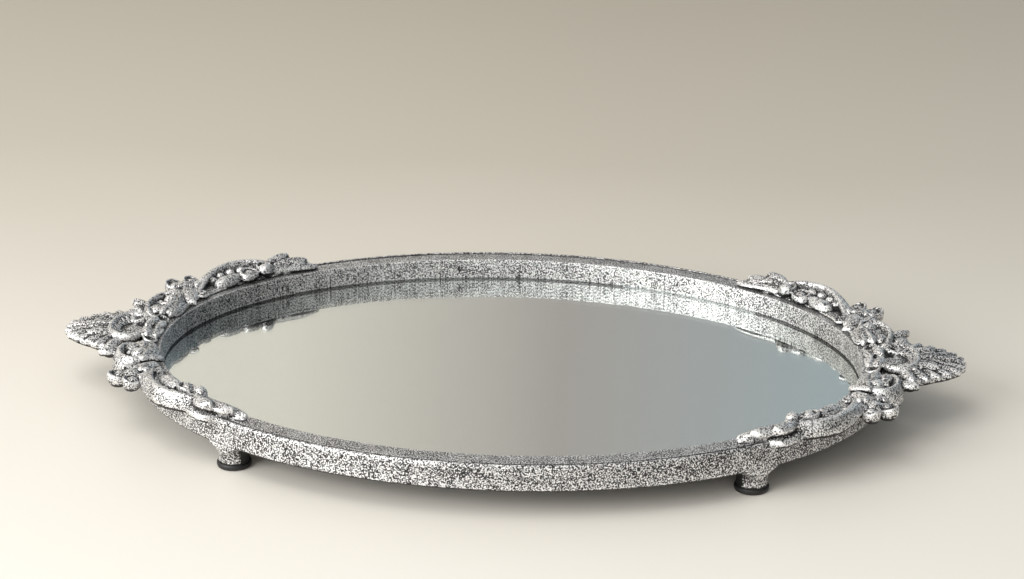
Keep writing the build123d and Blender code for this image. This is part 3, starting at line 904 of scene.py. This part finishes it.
# ---- Scene -------------------------------------------------------------------------------------
def studio():
    scene = bpy.context.scene
    world = bpy.data.worlds.new("soft_white_room")
    scene.world = world
    world.use_nodes = True
    tree = world.node_tree
    tree.nodes.clear()

    way = node(world, "ShaderNodeTexCoord", {"output": "Generated"})
    x, y, z = (node(world, "ShaderNodeSeparateXYZ", {"output": axis}, Vector=way) for axis in "XYZ")
    smooth = {"interpolation_type": "SMOOTHSTEP"}
    blend = {"data_type": "RGBA", "output": 2}
    cream_to_blue = ((0.0, "#f6f0e4"), (0.20, "#ece5d8"), (0.40, "#b8b0ab"), (0.60, "#afb8bc"), (1.0, "#c2d0d8"))
    across = node(world, "ShaderNodeMapRange", Value=x, From_Min=-0.30, From_Max=0.30)
    behind = node(world, "ShaderNodeValToRGB", {"stops": cream_to_blue}, Fac=across)
    front = node(world, "ShaderNodeMapRange", smooth, Value=y, From_Min=0.3, From_Max=-0.5)
    above = node(world, "ShaderNodeMapRange", smooth, Value=z, From_Min=0.5, From_Max=0.9)
    room = node(world, "ShaderNodeMix", blend, Factor=front, in6=behind, in7=linear("#f6f4f0"))
    sky = node(world, "ShaderNodeMix", blend, Factor=above, in6=room, in7=linear("#b0aeab"))
    right = node(world, "ShaderNodeMapRange", Value=x, From_Min=0.30, From_Max=0.80, To_Min=0.95, To_Max=0.18)
    near = node(world, "ShaderNodeMapRange", Value=y, From_Min=0.0, From_Max=-0.8, To_Min=1.0, To_Max=1.3)
    power = node(world, "ShaderNodeMath", MULTIPLY, in0=right, in1=near)
    node(world, "ShaderNodeOutputWorld", Surface=node(world, "ShaderNodeBackground", Color=sky, Strength=power))
    scene.view_settings.view_transform = "Standard"


def area_light(name, at, aim, size, power, colour):
    data = bpy.data.lights.new(name, "AREA")
    data.shape = "RECTANGLE"
    data.size, data.size_y = size
    data.energy = power
    data.color = linear(colour)[:3]
    lamp = bpy.data.objects.new(name, data)
    lamp.location = at
    lamp.rotation_euler = (Vector(aim) - Vector(at)).to_track_quat("-Z", "Y").to_euler()
    bpy.context.scene.collection.objects.link(lamp)


def camera():
    """Long lens, a little to the right of the middle and 22 degrees above the table."""
    yaw, pitch, roll = -0.08829, 0.37913, 0.00709
    aim = Vector((-9.76, 121.76, 0.0)) * MM
    distance = 1107.5 * MM
    ahead = Vector((sin(yaw) * cos(pitch), cos(yaw) * cos(pitch), -sin(pitch)))
    right = Vector((cos(yaw), -sin(yaw), 0.0))
    up = right.cross(ahead)
    right, up = cos(roll) * right + sin(roll) * up, cos(roll) * up - sin(roll) * right
    data = bpy.data.cameras.new("camera")
    data.lens = 80.73
    data.sensor_width = 36.0
    data.clip_start = 0.05
    piece = bpy.data.objects.new("camera", data)
    turn = Matrix((right, up, -ahead)).transposed().to_4x4()
    piece.matrix_world = Matrix.Translation(aim - ahead * distance) @ turn
    bpy.context.scene.collection.objects.link(piece)
    bpy.context.scene.camera = piece


def floor():
    mesh = bpy.data.meshes.new("floor")
    reach = 6.0
    corners = [(-reach, -reach, 0), (reach, -reach, 0), (reach, reach, 0), (-reach, reach, 0)]
    mesh.from_pydata(corners, [], [(0, 1, 2, 3)])
    piece = bpy.data.objects.new("floor", mesh)
    mesh.materials.append(pale_floor())
    bpy.context.scene.collection.objects.link(piece)


CASTING = silvered_casting()
FELT = black_felt()
CARTOUCHE = cartouche()
PALMETTE = palmette()
SCROLL = rim_scroll()
VOLUTE = volute()
SPRAY = leaf_spray()

rim = cast_rim()
add_casting(rim, "oval_frame")
ornament()

felt = felt_sheet()
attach(felt, "root")
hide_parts("felt_lining")

silvering = silver_coat()
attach(silvering, "root")
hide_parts("mirror_silvering")


def repaint(node_name, material):
    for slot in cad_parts[node_name].material_slots:
        slot.material = material


repaint("mirror_glass", float_glass())
repaint("mounting_tape", foam_tape())
repaint("backing_board", hardboard())
repaint("foot_screws", zinc_steel())
rubber = pad_rubber()
for name in FEET:
    repaint(f"{name}_foot_pad", rubber)
    foot = cast_foot(name)
    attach(foot, "root")
    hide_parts(f"{name}_foot")

floor()
studio()
area_light("ceiling_softbox", (-0.5, -0.35, 1.4), (0, 0, 0), (1.2, 0.9), 7.0, "#fffcf7")
area_light("window", (-1.15, -1.05, 0.72), (0, 0, 0.02), (1.2, 0.9), 21.0, "#fffefb")
camera()
